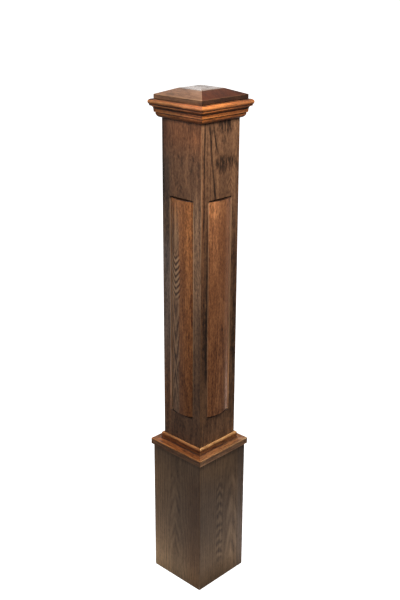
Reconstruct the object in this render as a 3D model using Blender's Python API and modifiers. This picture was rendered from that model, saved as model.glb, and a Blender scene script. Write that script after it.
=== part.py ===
"""Square box newel post: mitred boards, bowed panels, a moulded crown, a low hipped cap and a stepped base.

The post stands on the origin with +Z up. Its front faces -Y, and every side is alike, so each piece is
shaped once on the front side and turned about the post's axis for the other three.
"""

import math

import bmesh
import bpy
from mathutils import Matrix, Vector

# Driving dimensions, in metres

GAP = 0.0003
MERGE = 0.00002

SHAFT_SIDE = 0.1206
SHAFT_BOARD = 0.019
SHAFT_HEIGHT = 1.1959
SHAFT_CORNER_ROUND = 0.0012

STILE_WIDTH = 0.0243
RECESS_BELOW_CROWN = 0.171
RECESS_ABOVE_BASE = 0.0678
RECESS_DEPTH = 0.009
RECESS_ROUND = 0.005

PANEL_SIDE_GAP = 0.0005
PANEL_END_GAP = 0.002
PANEL_BOW = 0.009
PANEL_PROUD = 0.0045
PANEL_EDGE_ROUND = 0.0006

BASE_BOARD = 0.0187
BASE_BOARD_HEIGHT = 0.3542
BASE_CORNER_ROUND = 0.0015

BAND_PROUD = 0.0046
BAND_HEIGHT = 0.0124
BAND_CORNER_ROUND = 0.001

RIDGE_WIDTH = 0.0048
RIDGE_ROUND = 0.0034
RIDGE_WALL = 0.0109
BASE_COVE = 0.0035
TREAD_THICKNESS = 0.0026
TREAD_EDGE_ROUND = 0.0013

OVOLO_FLAT = 0.0006
OVOLO_REACH = 0.009
OVOLO_RISE = 0.0106
FRIEZE_STEP = 0.0026
FRIEZE_LIFT = 0.0012
FRIEZE_HEIGHT = 0.0073
CROWN_COVE = 0.0063
FILLET_STEP = 0.0006
FILLET_HEIGHT = 0.0032
BEAD_RADIUS = 0.0065
BEAD_NOSE = 0.0025

CAP_OVERHANG = 0.0126
CAP_EDGE_HEIGHT = 0.0096
CAP_RISE = 0.0134
CAP_FLAT_SIDE = 0.07
CAP_EDGE_ROUND = 0.0009

ARC_STEPS = 7
BEAD_STEPS = 12
BOW_STEPS = 28
CORNER_STEPS = 6
EASE_SEGMENTS = 2
CUTTER_MARGIN = 0.02
SMOOTH_ANGLE = math.radians(32.0)
EASE_ANGLE = math.radians(12.0)
PANEL_EASE_ANGLE = math.radians(40.0)

# Sizes that follow from them

SHAFT_HALF = SHAFT_SIDE / 2
BASE_HALF = SHAFT_HALF + GAP + BASE_BOARD
BAND_HALF = BASE_HALF + BAND_PROUD
BAND_FOOT = BASE_BOARD_HEIGHT + GAP
BASE_MOULDING_FOOT = BAND_FOOT + BAND_HEIGHT + GAP
BASE_MOULDING_HEIGHT = TREAD_THICKNESS + BASE_COVE + RIDGE_WALL + RIDGE_ROUND
BASE_TOP = BASE_MOULDING_FOOT + BASE_MOULDING_HEIGHT
BEAD_SINK = BEAD_RADIUS - BEAD_NOSE
BEAD_DROP = math.sqrt(BEAD_RADIUS**2 - BEAD_SINK**2)
CROWN_HEIGHT = (
    OVOLO_RISE + FRIEZE_LIFT + FRIEZE_HEIGHT + CROWN_COVE + FILLET_HEIGHT + BEAD_DROP + BEAD_RADIUS
)
CROWN_FOOT = SHAFT_HEIGHT - CROWN_HEIGHT
RECESS_WIDTH = SHAFT_SIDE - 2 * STILE_WIDTH
RECESS_FOOT = BASE_TOP + RECESS_ABOVE_BASE
RECESS_TOP = CROWN_FOOT - RECESS_BELOW_CROWN
RECESS_HEIGHT = RECESS_TOP - RECESS_FOOT
RECESS_MIDDLE = (RECESS_TOP + RECESS_FOOT) / 2
PANEL_WIDTH = RECESS_WIDTH - 2 * PANEL_SIDE_GAP
PANEL_HEIGHT = RECESS_HEIGHT - 2 * PANEL_END_GAP
PANEL_ROUND = RECESS_ROUND - PANEL_SIDE_GAP
PANEL_BACK = SHAFT_HALF - RECESS_DEPTH + GAP
PANEL_CROWN = SHAFT_HALF + PANEL_PROUD
CAP_SIDE = SHAFT_SIDE + 2 * CAP_OVERHANG
CAP_FOOT = SHAFT_HEIGHT + GAP

SIDES = {"front": 0.0, "right": math.pi / 2, "back": math.pi, "left": 3 * math.pi / 2}

WALNUT_BROWN = (0.072, 0.043, 0.028, 1.0)
BASE_BROWN = (0.062, 0.043, 0.032, 1.0)
RUSSET = (0.235, 0.095, 0.038, 1.0)
PANEL_RUSSET = (0.17, 0.075, 0.034, 1.0)


def clear_scene():
    """Removes every object that the scene starts with."""
    for old in list(bpy.data.objects):
        bpy.data.objects.remove(old, do_unlink=True)


def new_collection(name):
    """A collection linked under the scene's own."""
    collection = bpy.data.collections.new(name)
    bpy.context.scene.collection.children.link(collection)
    return collection


def stained_oak(name, colour, roughness):
    """A plain finish: stain colour under a satin coat."""
    material = bpy.data.materials.new(name)
    material.use_nodes = True
    shader = material.node_tree.nodes["Principled BSDF"]
    shader.inputs["Base Color"].default_value = colour
    shader.inputs["Roughness"].default_value = roughness
    shader.inputs["Metallic"].default_value = 0.0
    return material


def arc(centre, reach, rise, start, end, steps):
    """Points on an ellipse about the centre, from the start angle to the end angle in degrees."""
    points = []
    for step in range(steps + 1):
        angle = math.radians(start + (end - start) * step / steps)
        points.append((centre[0] + reach * math.cos(angle), centre[1] + rise * math.sin(angle)))
    return points


def rounded_rectangle(width, height, radius):
    """A rectangle about the origin with four round corners."""
    x = width / 2 - radius
    y = height / 2 - radius
    outline = arc((x, y), radius, radius, 0, 90, CORNER_STEPS)
    outline += arc((-x, y), radius, radius, 90, 180, CORNER_STEPS)
    outline += arc((-x, -y), radius, radius, 180, 270, CORNER_STEPS)
    outline += arc((x, -y), radius, radius, 270, 360, CORNER_STEPS)
    return outline


def board_outline(half, thickness, corner_round):
    """Plan of a front board before its ends are mitred, with the post's outer corners rounded."""
    inner = thickness - half
    corner = half - corner_round
    outline = [(half, inner), (-half, inner)]
    outline += arc((-corner, -corner), corner_round, corner_round, 180, 270, CORNER_STEPS)
    outline += arc((corner, -corner), corner_round, corner_round, 270, 360, CORNER_STEPS)
    return outline


def bow_outline():
    """Plan of a panel: flat at the back and an arc of a large circle at the front."""
    half = PANEL_WIDTH / 2
    radius = (half**2 + PANEL_BOW**2) / (2 * PANEL_BOW)
    spread = math.degrees(math.asin(half / radius))
    outline = [(half, -PANEL_BACK), (-half, -PANEL_BACK)]
    outline += arc((0.0, radius - PANEL_CROWN), radius, radius, 270 - spread, 270 + spread, BOW_STEPS)
    return outline


def base_moulding_outline():
    """Section of the base moulding as (out, up): tread, small cove, wall and ridge on the shaft."""
    outer = GAP + BASE_BOARD + BAND_PROUD
    ridge = GAP + RIDGE_WIDTH
    cove = (ridge + BASE_COVE, TREAD_THICKNESS + BASE_COVE)
    ridge_up = BASE_MOULDING_HEIGHT - RIDGE_ROUND
    outline = [(GAP, 0.0), (outer, 0.0)]
    edge = (outer - TREAD_EDGE_ROUND, TREAD_THICKNESS - TREAD_EDGE_ROUND)
    outline += arc(edge, TREAD_EDGE_ROUND, TREAD_EDGE_ROUND, 0, 90, ARC_STEPS)
    outline += arc(cove, BASE_COVE, BASE_COVE, 270, 180, ARC_STEPS)
    outline += arc((ridge - RIDGE_ROUND, ridge_up), RIDGE_ROUND, RIDGE_ROUND, 0, 90, ARC_STEPS)
    outline.append((GAP, BASE_MOULDING_HEIGHT))
    return outline


def crown_outline():
    """Section of the crown as (out, up): ovolo, frieze, cove, fillet and bead, from the foot up."""
    ovolo = GAP + OVOLO_FLAT
    frieze = ovolo + OVOLO_REACH + FRIEZE_STEP
    fillet = frieze + FILLET_STEP + CROWN_COVE
    bead = fillet - BEAD_SINK
    frieze_foot = OVOLO_RISE + FRIEZE_LIFT
    cove_foot = frieze_foot + FRIEZE_HEIGHT
    fillet_foot = cove_foot + CROWN_COVE
    bead_up = fillet_foot + FILLET_HEIGHT + BEAD_DROP
    bead_start = -math.degrees(math.asin(BEAD_DROP / BEAD_RADIUS))
    outline = [(GAP, 0.0)]
    outline += arc((ovolo, OVOLO_RISE), OVOLO_REACH, OVOLO_RISE, 270, 360, ARC_STEPS)
    outline += [(ovolo + OVOLO_REACH, frieze_foot), (frieze, frieze_foot)]
    outline += arc((fillet, cove_foot), CROWN_COVE, CROWN_COVE, 180, 90, ARC_STEPS)
    outline += arc((bead, bead_up), BEAD_RADIUS, BEAD_RADIUS, bead_start, 90, BEAD_STEPS)
    outline.append((GAP, CROWN_HEIGHT))
    return outline


def extruded_mesh(name, outline, depth):
    """A closed outline in XY, filled and extruded to the depth about its own plane."""
    curve = bpy.data.curves.new(name, "CURVE")
    curve.dimensions = "2D"
    curve.fill_mode = "BOTH"
    curve.extrude = depth / 2
    spline = curve.splines.new("POLY")
    spline.points.add(len(outline) - 1)
    for point, (x, y) in zip(spline.points, outline):
        point.co = (x, y, 0.0, 1.0)
    spline.use_cyclic_u = True
    guide = bpy.data.objects.new(name + "_guide", curve)
    bpy.context.scene.collection.objects.link(guide)
    graph = bpy.context.evaluated_depsgraph_get()
    mesh = bpy.data.meshes.new_from_object(guide.evaluated_get(graph))
    mesh.name = name
    bpy.data.objects.remove(guide, do_unlink=True)
    tidy_mesh(mesh)
    return mesh


def tidy_mesh(mesh):
    """Welds the caps to the sides and turns every face outwards."""
    shape = bmesh.new()
    shape.from_mesh(mesh)
    bmesh.ops.remove_doubles(shape, verts=shape.verts, dist=MERGE)
    bmesh.ops.dissolve_limit(shape, angle_limit=math.radians(0.1), verts=shape.verts, edges=shape.edges)
    bmesh.ops.recalc_face_normals(shape, faces=shape.faces)
    shape.to_mesh(mesh)
    shape.free()


def mitre_mesh(mesh):
    """Cuts both ends of a front length along the corner planes, half a gap short of them."""
    shape = bmesh.new()
    shape.from_mesh(mesh)
    for end in (-1, 1):
        outward = Vector((end, 1, 0)).normalized()
        cut = bmesh.ops.bisect_plane(
            shape,
            geom=shape.verts[:] + shape.edges[:] + shape.faces[:],
            dist=MERGE,
            plane_co=outward * (-GAP / 2),
            plane_no=outward,
            clear_outer=True,
        )
        rim = [item for item in cut["geom_cut"] if isinstance(item, bmesh.types.BMEdge)]
        bmesh.ops.holes_fill(shape, edges=rim, sides=0)
    bmesh.ops.recalc_face_normals(shape, faces=shape.faces)
    shape.to_mesh(mesh)
    shape.free()


def upright_board_mesh(name, half, thickness, height, corner_round):
    """A mitred board on the front side, from its foot at zero to its height."""
    mesh = extruded_mesh(name, board_outline(half, thickness, corner_round), height)
    mesh.transform(Matrix.Translation((0.0, 0.0, height / 2)))
    mitre_mesh(mesh)
    return mesh


def moulding_mesh(name, outline):
    """A mitred length of moulding on the shaft's front face, its underside at zero."""
    reach = max(out for out, up in outline)
    mesh = extruded_mesh(name, outline, 2 * (SHAFT_HALF + reach))
    lay_along_front = Matrix(((0, 0, -1, 0), (-1, 0, 0, -SHAFT_HALF), (0, 1, 0, 0), (0, 0, 0, 1)))
    mesh.transform(lay_along_front)
    mitre_mesh(mesh)
    return mesh


def upright_slab_mesh(name, outline, near, far):
    """An outline drawn as (x, z) on the front, solid from the near to the far distance from the axis."""
    mesh = extruded_mesh(name, outline, far - near)
    stand_up = Matrix(((1, 0, 0, 0), (0, 0, -1, -(near + far) / 2), (0, 1, 0, 0), (0, 0, 0, 1)))
    mesh.transform(stand_up)
    return mesh


def cap_mesh():
    """A square block whose top face is drawn up and in to leave four slopes and a small flat."""
    mesh = bpy.data.meshes.new("cap")
    shape = bmesh.new()
    bmesh.ops.create_cube(shape, size=1.0)
    bmesh.ops.scale(shape, vec=(CAP_SIDE, CAP_SIDE, CAP_EDGE_HEIGHT), verts=shape.verts)
    bmesh.ops.translate(shape, vec=(0.0, 0.0, CAP_EDGE_HEIGHT / 2), verts=shape.verts)
    top = max(shape.faces, key=lambda face: face.calc_center_median().z)
    raised = bmesh.ops.extrude_face_region(shape, geom=[top])
    corners = [item for item in raised["geom"] if isinstance(item, bmesh.types.BMVert)]
    bmesh.ops.delete(shape, geom=[top], context="FACES_ONLY")
    bmesh.ops.translate(shape, vec=(0.0, 0.0, CAP_RISE), verts=corners)
    share = CAP_FLAT_SIDE / CAP_SIDE
    bmesh.ops.scale(shape, vec=(share, share, 1.0), verts=corners)
    bmesh.ops.recalc_face_normals(shape, faces=shape.faces)
    shape.to_mesh(mesh)
    shape.free()
    return mesh


def place(name, mesh, collection, post, height, turn, material):
    """An object of the mesh at a height on the post's axis, turned to its side."""
    item = bpy.data.objects.new(name, mesh)
    item.location = (0.0, 0.0, height)
    item.rotation_euler = (0.0, 0.0, turn)
    item.parent = post
    collection.objects.link(item)
    if material is not None and not mesh.materials:
        mesh.materials.append(material)
    return item


def place_cutter(name, mesh, collection, post, height, turn):
    """A guide solid that only shapes others."""
    cutter = place(name, mesh, collection, post, height, turn, None)
    cutter.hide_render = True
    cutter.display_type = "WIRE"
    return cutter


def cut(item, cutter, operation):
    """Adds an exact Boolean with the cutter."""
    boolean = item.modifiers.new(operation.title(), "BOOLEAN")
    boolean.operation = operation
    boolean.solver = "EXACT"
    boolean.object = cutter


def ease(item, width, angle):
    """Rounds the edges sharper than the angle."""
    bevel = item.modifiers.new("Eased edges", "BEVEL")
    bevel.width = width
    bevel.segments = EASE_SEGMENTS
    bevel.limit_method = "ANGLE"
    bevel.angle_limit = angle


def smooth(mesh):
    """Shades round stretches smooth and keeps the arrises crisp."""
    mesh.shade_smooth()
    mesh.set_sharp_from_angle(angle=SMOOTH_ANGLE)


def build_cap(collection, post):
    """The block on top of the shaft and crown."""
    finish = stained_oak("cap_finish", WALNUT_BROWN, 0.38)
    cap = place("cap", cap_mesh(), collection, post, CAP_FOOT, 0.0, finish)
    ease(cap, CAP_EDGE_ROUND, EASE_ANGLE)


def build_shaft(collection, cutters, post):
    """Four mitred boards, each with a tall recess and a bowed panel in it."""
    board_finish = stained_oak("shaft_finish", WALNUT_BROWN, 0.42)
    panel_finish = stained_oak("panel_finish", PANEL_RUSSET, 0.36)
    board = upright_board_mesh("shaft_board", SHAFT_HALF, SHAFT_BOARD, SHAFT_HEIGHT, SHAFT_CORNER_ROUND)
    recess = upright_slab_mesh(
        "recess",
        rounded_rectangle(RECESS_WIDTH, RECESS_HEIGHT, RECESS_ROUND),
        SHAFT_HALF - RECESS_DEPTH,
        SHAFT_HALF + CUTTER_MARGIN,
    )
    blank = upright_slab_mesh(
        "panel",
        rounded_rectangle(PANEL_WIDTH, PANEL_HEIGHT, PANEL_ROUND),
        PANEL_BACK,
        PANEL_CROWN + CUTTER_MARGIN,
    )
    bow = extruded_mesh("bow", bow_outline(), PANEL_HEIGHT + 2 * CUTTER_MARGIN)
    smooth(bow)
    for side, turn in SIDES.items():
        front_board = place("shaft_board_" + side, board, collection, post, 0.0, turn, board_finish)
        pocket = place_cutter("recess_cutter_" + side, recess, cutters, post, RECESS_MIDDLE, turn)
        cut(front_board, pocket, "DIFFERENCE")
        panel = place("panel_" + side, blank, collection, post, RECESS_MIDDLE, turn, panel_finish)
        curve = place_cutter("bow_cutter_" + side, bow, cutters, post, RECESS_MIDDLE, turn)
        cut(panel, curve, "INTERSECT")
        ease(panel, PANEL_EDGE_ROUND, PANEL_EASE_ANGLE)


def build_base(collection, post):
    """Boards round the foot of the shaft, a proud band on them and the moulding on the band."""
    base_finish = stained_oak("base_finish", BASE_BROWN, 0.4)
    band_finish = stained_oak("band_finish", BASE_BROWN, 0.4)
    moulding_finish = stained_oak("base_moulding_finish", RUSSET, 0.34)
    board = upright_board_mesh(
        "base_board", BASE_HALF, BASE_BOARD, BASE_BOARD_HEIGHT, BASE_CORNER_ROUND
    )
    band = upright_board_mesh(
        "base_band", BAND_HALF, BASE_BOARD + BAND_PROUD, BAND_HEIGHT, BAND_CORNER_ROUND
    )
    moulding = moulding_mesh("base_moulding", base_moulding_outline())
    smooth(moulding)
    for side, turn in SIDES.items():
        place("base_board_" + side, board, collection, post, 0.0, turn, base_finish)
        place("base_band_" + side, band, collection, post, BAND_FOOT, turn, band_finish)
        place("base_moulding_" + side, moulding, collection, post, BASE_MOULDING_FOOT, turn, moulding_finish)


def build_crown(collection, post):
    """The moulding round the top of the shaft, flush with the shaft's top end."""
    finish = stained_oak("crown_finish", RUSSET, 0.34)
    moulding = moulding_mesh("crown", crown_outline())
    smooth(moulding)
    for side, turn in SIDES.items():
        place("crown_" + side, moulding, collection, post, CROWN_FOOT, turn, finish)


def main():
    """Builds the whole post."""
    clear_scene()
    parts = new_collection("newel_post")
    cutters = new_collection("cutters")
    post = bpy.data.objects.new("post", None)
    parts.objects.link(post)
    build_base(parts, post)
    build_shaft(parts, cutters, post)
    build_crown(parts, post)
    build_cap(parts, post)
    bpy.context.view_layer.update()


main()
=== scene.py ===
"""Looks of a square box newel post in two-tone stained oak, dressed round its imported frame.

The post stands on the origin with +Z up. Its front faces -Y and every side is alike, so each piece is shaped
once on the front side and turned about the post's axis for the other three. Lengths are in metres.
"""

import logging
import math
from collections.abc import Callable, Mapping, Sequence
from dataclasses import dataclass
from enum import Enum
from typing import Any, Union

import bmesh
import bpy
from mathutils import Matrix, Vector


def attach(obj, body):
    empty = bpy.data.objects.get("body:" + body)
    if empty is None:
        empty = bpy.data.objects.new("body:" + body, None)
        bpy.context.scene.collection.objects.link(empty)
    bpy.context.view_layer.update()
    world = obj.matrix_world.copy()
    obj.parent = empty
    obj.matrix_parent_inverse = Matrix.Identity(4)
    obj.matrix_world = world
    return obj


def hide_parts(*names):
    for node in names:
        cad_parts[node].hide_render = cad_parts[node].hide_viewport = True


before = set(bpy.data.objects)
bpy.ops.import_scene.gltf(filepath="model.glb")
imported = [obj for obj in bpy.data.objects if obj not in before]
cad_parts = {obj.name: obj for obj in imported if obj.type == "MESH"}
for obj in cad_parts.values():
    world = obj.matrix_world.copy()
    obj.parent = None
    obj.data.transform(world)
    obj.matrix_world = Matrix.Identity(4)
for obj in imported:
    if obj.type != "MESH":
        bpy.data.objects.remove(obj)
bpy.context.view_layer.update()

LOG = logging.getLogger("newel_post")

Point = tuple[float, float]
Colour = tuple[float, float, float]
Span = tuple[float, float, float, float]
Socket = bpy.types.NodeSocket

BODY = "root"
GAP = 0.0003
FAR = 9.0
WHITE = (1.0, 1.0, 1.0, 1.0)
ARC_STEPS = 14
CORNER_STEPS = 4
LIP_STEPS = 4
OUTLINE_STEPS = 7
CAP_CORNER_STEPS = 6
SWEEP_BEND_STEPS = 12
SWEEP_SIDES = 64
SHARP_TURN = math.radians(24.0)
SMOOTH_ANGLE = math.radians(38.0)


class Side(Enum):
    """The four sides of the post, in the order in which the front is turned to them."""

    FRONT = 0
    RIGHT = 1
    BACK = 2
    LEFT = 3

    @property
    def turn(self) -> float:
        """Turn about the axis from the front to this side."""
        return self.value * math.pi / 2

    @property
    def label(self) -> str:
        """The side's word in the names of nodes and pieces."""
        return self.name.lower()


class Grain(Enum):
    """Which way a piece's fibres run, seen from the front side."""

    UP_THE_POST = "up"
    ALONG_THE_SIDE = "along"
    LYING_FLAT = "flat"


# Shader graph


class Value:
    """A number that varies over a surface: one output socket, whose expressions add Math nodes."""

    def __init__(self, graph: "Graph", socket: Socket) -> None:
        """Wraps an output socket of a graph."""
        self.graph = graph
        self.socket = socket

    def __add__(self, other: "Number") -> "Value":
        """Sum, with the number on either side."""
        return self.graph.math("ADD", self, other)

    def __sub__(self, other: "Number") -> "Value":
        """Difference."""
        return self.graph.math("SUBTRACT", self, other)

    def __rsub__(self, other: "Number") -> "Value":
        """Difference with a number on the left."""
        return self.graph.math("SUBTRACT", other, self)

    def __mul__(self, other: "Number") -> "Value":
        """Product, with the number on either side."""
        return self.graph.math("MULTIPLY", self, other)

    def __truediv__(self, other: "Number") -> "Value":
        """Quotient."""
        return self.graph.math("DIVIDE", self, other)

    def __pow__(self, other: "Number") -> "Value":
        """Power."""
        return self.graph.math("POWER", self, other)

    def __neg__(self) -> "Value":
        """Opposite."""
        return self * -1.0

    def __abs__(self) -> "Value":
        """Size without its sign."""
        return self.graph.math("ABSOLUTE", self)

    __radd__ = __add__
    __rmul__ = __mul__

    def clamped(self) -> "Value":
        """The number held between 0 and 1."""
        return self.graph.math("ADD", self, 0.0, clamp=True)

    def maximum(self, other: "Number") -> "Value":
        """The larger of two numbers."""
        return self.graph.math("MAXIMUM", self, other)

    def root(self) -> "Value":
        """Square root."""
        return self.graph.math("SQRT", self)

    def rising(self, low: float, high: float) -> "Value":
        """A soft step.

        Args:
            low: where the step is still 0.
            high: where it has reached 1.

        Returns:
            The step, between 0 and 1.
        """
        ends = {"Value": self, "From Min": low, "From Max": high}
        step = self.graph.node("ShaderNodeMapRange", {"interpolation_type": "SMOOTHSTEP"}, ends)
        return Value(self.graph, step.outputs["Result"])

    def falling(self, low: float, high: float) -> "Value":
        """A soft step from 1 at the low number to 0 at the high one."""
        return 1.0 - self.rising(low, high)

    def over(self, span: Span) -> "Value":
        """A window with soft sides: 0, 1, 1 and 0 at the span's four numbers."""
        return self.rising(span[0], span[1]) * self.falling(span[2], span[3])

    def around(self, middle: float, span: Span) -> "Value":
        """A window whose span is measured from a middle."""
        return self.over(tuple(middle + side for side in span))


Number = Union[Value, float]


class Graph:
    """Adds nodes to the tree of one material or world."""

    def __init__(self, tree: bpy.types.NodeTree) -> None:
        """Empties the tree that is to be filled."""
        self.tree = tree
        tree.nodes.clear()

    def node(
        self,
        kind: str,
        settings: Mapping[str, Any] | None = None,
        inputs: Mapping[str | int, Any] | None = None,
    ) -> bpy.types.Node:
        """Adds any node.

        Args:
            kind: the node's type.
            settings: its own settings, set first; "stops" are a ramp's (place, colour) pairs.
            inputs: numbers, colours, sockets or Values by the name or number of the input.

        Returns:
            The new node.
        """
        made = self.tree.nodes.new(kind)
        for name, setting in (settings or {}).items():
            if name == "stops":
                self._set_stops(made, setting)
            else:
                setattr(made, name, setting)
        for name, given in (inputs or {}).items():
            source = given.socket if isinstance(given, Value) else given
            if isinstance(source, Socket):
                self.tree.links.new(source, made.inputs[name])
            else:
                made.inputs[name].default_value = source
        return made

    @staticmethod
    def _set_stops(ramp: bpy.types.Node, stops: Sequence[tuple[float, Colour]]) -> None:
        """Sets a ramp's stops.

        Args:
            ramp: the ramp node.
            stops: places from 0 to 1 with their colours, in order.
        """
        elements = ramp.color_ramp.elements
        while len(elements) < len(stops):
            elements.new(1.0)
        for element, (place, colour) in zip(elements, stops):
            element.position = place
            element.color = (*colour, 1.0)

    def math(self, operation: str, first: Number, second: Number = 0.0, clamp: bool = False) -> Value:
        """Adds a Math node.

        Args:
            operation: the node's operation.
            first: its first number.
            second: its second number.
            clamp: whether the result is held between 0 and 1.

        Returns:
            The result.
        """
        settings = {"operation": operation, "use_clamp": clamp}
        made = self.node("ShaderNodeMath", settings, {0: first, 1: second})
        return Value(self, made.outputs[0])

    def vector_math(self, operation: str, first: Any, second: Any) -> bpy.types.Node:
        """Adds a Vector Math node on two vectors."""
        return self.node("ShaderNodeVectorMath", {"operation": operation}, {0: first, 1: second})

    def noise(self, where: Socket, detail: float = 2.0, roughness: float = 0.5) -> Value:
        """Adds a noise.

        Args:
            where: the place, already in units of the noise.
            detail: how many finer layers it has.
            roughness: how strong each finer layer is.

        Returns:
            The noise, about 0.5.
        """
        made = self.node(
            "ShaderNodeTexNoise",
            {"noise_dimensions": "3D"},
            {"Vector": where, "Scale": 1.0, "Detail": detail, "Roughness": roughness},
        )
        return Value(self, made.outputs[0])

    def mix(self, share: Number, first: Any, second: Any, blend: str = "MIX") -> Socket:
        """Mixes two colours.

        Args:
            share: how much of the second.
            first: a colour or its socket.
            second: a colour or its socket.
            blend: the way of mixing.

        Returns:
            The colour.
        """
        made = self.node("ShaderNodeMix", {"data_type": "RGBA", "blend_type": blend}, {0: share})
        for number, given in ((6, first), (7, second)):
            if isinstance(given, Socket):
                self.tree.links.new(given, made.inputs[number])
            else:
                made.inputs[number].default_value = (*given, 1.0)
        return made.outputs[2]


# Stained oak


class BoardPlace:
    """Where a point of a piece lies, both on its side of the post and in the board it was cut from."""

    def __init__(self, graph: Graph, side: Side, grain: Grain, seed: float) -> None:
        """Reads the place from the model's own coordinates.

        Args:
            graph: the material's graph.
            side: the side that the piece is on.
            grain: which way its fibres run.
            seed: a number that makes its figure differ from the next board's.
        """
        self.graph = graph
        self.seed = seed
        place = graph.node("ShaderNodeTexCoord").outputs["Object"]
        turned = graph.node(
            "ShaderNodeVectorRotate",
            {"rotation_type": "Z_AXIS"},
            {"Vector": place, "Angle": -side.turn},
        )
        parts = graph.node("ShaderNodeSeparateXYZ", inputs={0: turned.outputs[0]})
        self.sideways = Value(graph, parts.outputs[0])
        self.out = -Value(graph, parts.outputs[1])
        self.up = Value(graph, parts.outputs[2])
        if grain is Grain.UP_THE_POST:
            self.across, self.along, self.depth = self.sideways, self.up, self.out
        elif grain is Grain.ALONG_THE_SIDE:
            self.across, self.along, self.depth = self.up, self.sideways, self.out
        else:
            self.across, self.along, self.depth = self.out, self.sideways, self.up

    def noise(
        self,
        across: float,
        along: float,
        layer: float = 0.0,
        detail: float = 2.0,
        roughness: float = 0.5,
    ) -> Value:
        """A noise stretched to the grain.

        Args:
            across: waves a metre across the fibres.
            along: waves a metre along them.
            layer: a number that sets this noise apart from the piece's others.
            detail: how many finer layers it has.
            roughness: how strong each finer layer is.

        Returns:
            The noise, about 0.5.
        """
        shift = self.seed * 7.31 + layer * 3.17
        joined = self.graph.node(
            "ShaderNodeCombineXYZ",
            inputs={
                0: self.across * across + shift,
                1: self.along * along + (shift * 1.7 + 5.0),
                2: self.depth * across + (shift * 0.6 - 3.0),
            },
        )
        return self.graph.noise(joined.outputs[0], detail, roughness)


@dataclass(frozen=True)
class Streak:
    """A dark band of grain that runs with the fibres and may lean or curve."""

    across: float
    top: float
    foot: float
    width: float
    strength: float = 0.4
    lean: float = 0.0
    curve: float = 0.0
    fade: float = 0.03

    def field(self, place: BoardPlace) -> Value:
        """Darkness that the streak adds."""
        drop = self.top - place.along
        wander = (place.noise(14.0, 16.0, 21.0 + self.across * 90.0) - 0.5) * (self.width * 1.2)
        line = drop * self.lean + drop * drop * self.curve + wander + self.across
        off = abs(place.across - line) / self.width
        ragged = place.noise(900.0, 45.0, 22.0, 3.0).rising(0.28, 0.62) * 0.55 + 0.45
        window = place.along.over((self.foot, self.foot + self.fade, self.top - self.fade, self.top))
        return off.falling(0.15, 1.0) * window * ragged * self.strength


@dataclass(frozen=True)
class Arches:
    """Nested arches or chevrons of growth rings where a board was cut across its rings."""

    across: float
    foot: float
    top: float
    half_width: float
    pitch: float
    steep: float
    strength: float = 0.3
    power: float = 1.0
    shift: float = 0.0
    fade: float = 0.03
    wander: float = 0.35

    def field(self, place: BoardPlace) -> Value:
        """Darkness that the arches add, below zero between them."""
        off = abs(place.across - self.across + (place.noise(30.0, 25.0, 31.0) - 0.5) * 0.004)
        bend = off if self.power == 1.0 else off**self.power
        swell = (place.noise(60.0, 30.0, 32.0 + self.across * 50.0) - 0.5) * self.wander
        phase = (place.along + bend * self.steep) / self.pitch + (swell + self.shift)
        wave = place.graph.math("SINE", phase * (2 * math.pi))
        window = place.along.over((self.foot, self.foot + self.fade, self.top - self.fade, self.top))
        side = off.falling(self.half_width * 0.55, self.half_width)
        return wave * window * side * self.strength


@dataclass(frozen=True)
class Flame:
    """A ragged dark patch of open grain."""

    across: float
    up: float
    half_width: float
    half_height: float
    strength: float = 0.5
    coarse: float = 260.0
    long: float = 42.0

    def field(self, place: BoardPlace) -> Value:
        """Darkness that the patch adds."""
        x = (place.across - self.across) / self.half_width
        y = (place.along - self.up) / self.half_height
        reach = (x * x + y * y).root() + (place.noise(90.0, 35.0, 41.0) - 0.5) * 1.3
        ragged = place.noise(self.coarse, self.long, 42.0 + self.up, 3.0, 0.65).rising(0.40, 0.62)
        return reach.falling(0.45, 1.05) * ragged * self.strength


Feature = Union[Streak, Arches, Flame]


@dataclass(frozen=True)
class Shade:
    """A part of a board whose colour is multiplied: partly the wood's own tone, partly painted light, shade
    and sheen.
    """

    gain: Colour
    across: Span | None = None
    along: Span | None = None
    ragged: float = 0.0

    def mixed(self, place: BoardPlace, colour: Socket) -> Socket:
        """Changes the wood's colour there.

        Args:
            place: the place in the board.
            colour: the colour so far.

        Returns:
            The changed colour.
        """
        share: Number = 1.0
        if self.across is not None:
            spot = place.across
            if self.ragged:
                spot = spot + (place.noise(60.0, 18.0, 61.0 + self.across[1] * 40.0, 3.0) - 0.5) * self.ragged
            share = spot.over(self.across)
        if self.along is not None:
            share = place.along.over(self.along) * share
        return place.graph.mix(share, colour, self.gain, "MULTIPLY")


@dataclass(frozen=True)
class Stain:
    """One colour of stain on oak, from its lightest wood to its darkest grain, and how it shines."""

    light: Colour
    middle: Colour
    dark: Colour
    # Colour of rubbed edges, also used for painted edge highlights.
    rubbed_and_highlit: Colour
    roughness: float = 0.42
    coat: float = 0.2
    contrast: float = 1.0
    fleck: float = 0.7


@dataclass(frozen=True)
class Figure:
    """How one board was cut: its growth rings, what stands out in its grain, and its shades, partly painted
    light.
    """

    seed: float
    heart_across: float = 0.0
    heart_depth: float = 0.05
    heart_slope: float = 0.02
    ring: float = 0.005
    level: float = 0.42
    rings: float = 0.2
    blotch: float = 0.4
    features: tuple[Feature, ...] = ()
    shades: tuple[Shade, ...] = ()


Wear = Callable[[BoardPlace], Value]
Tint = Callable[[BoardPlace, Socket], Socket]


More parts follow.
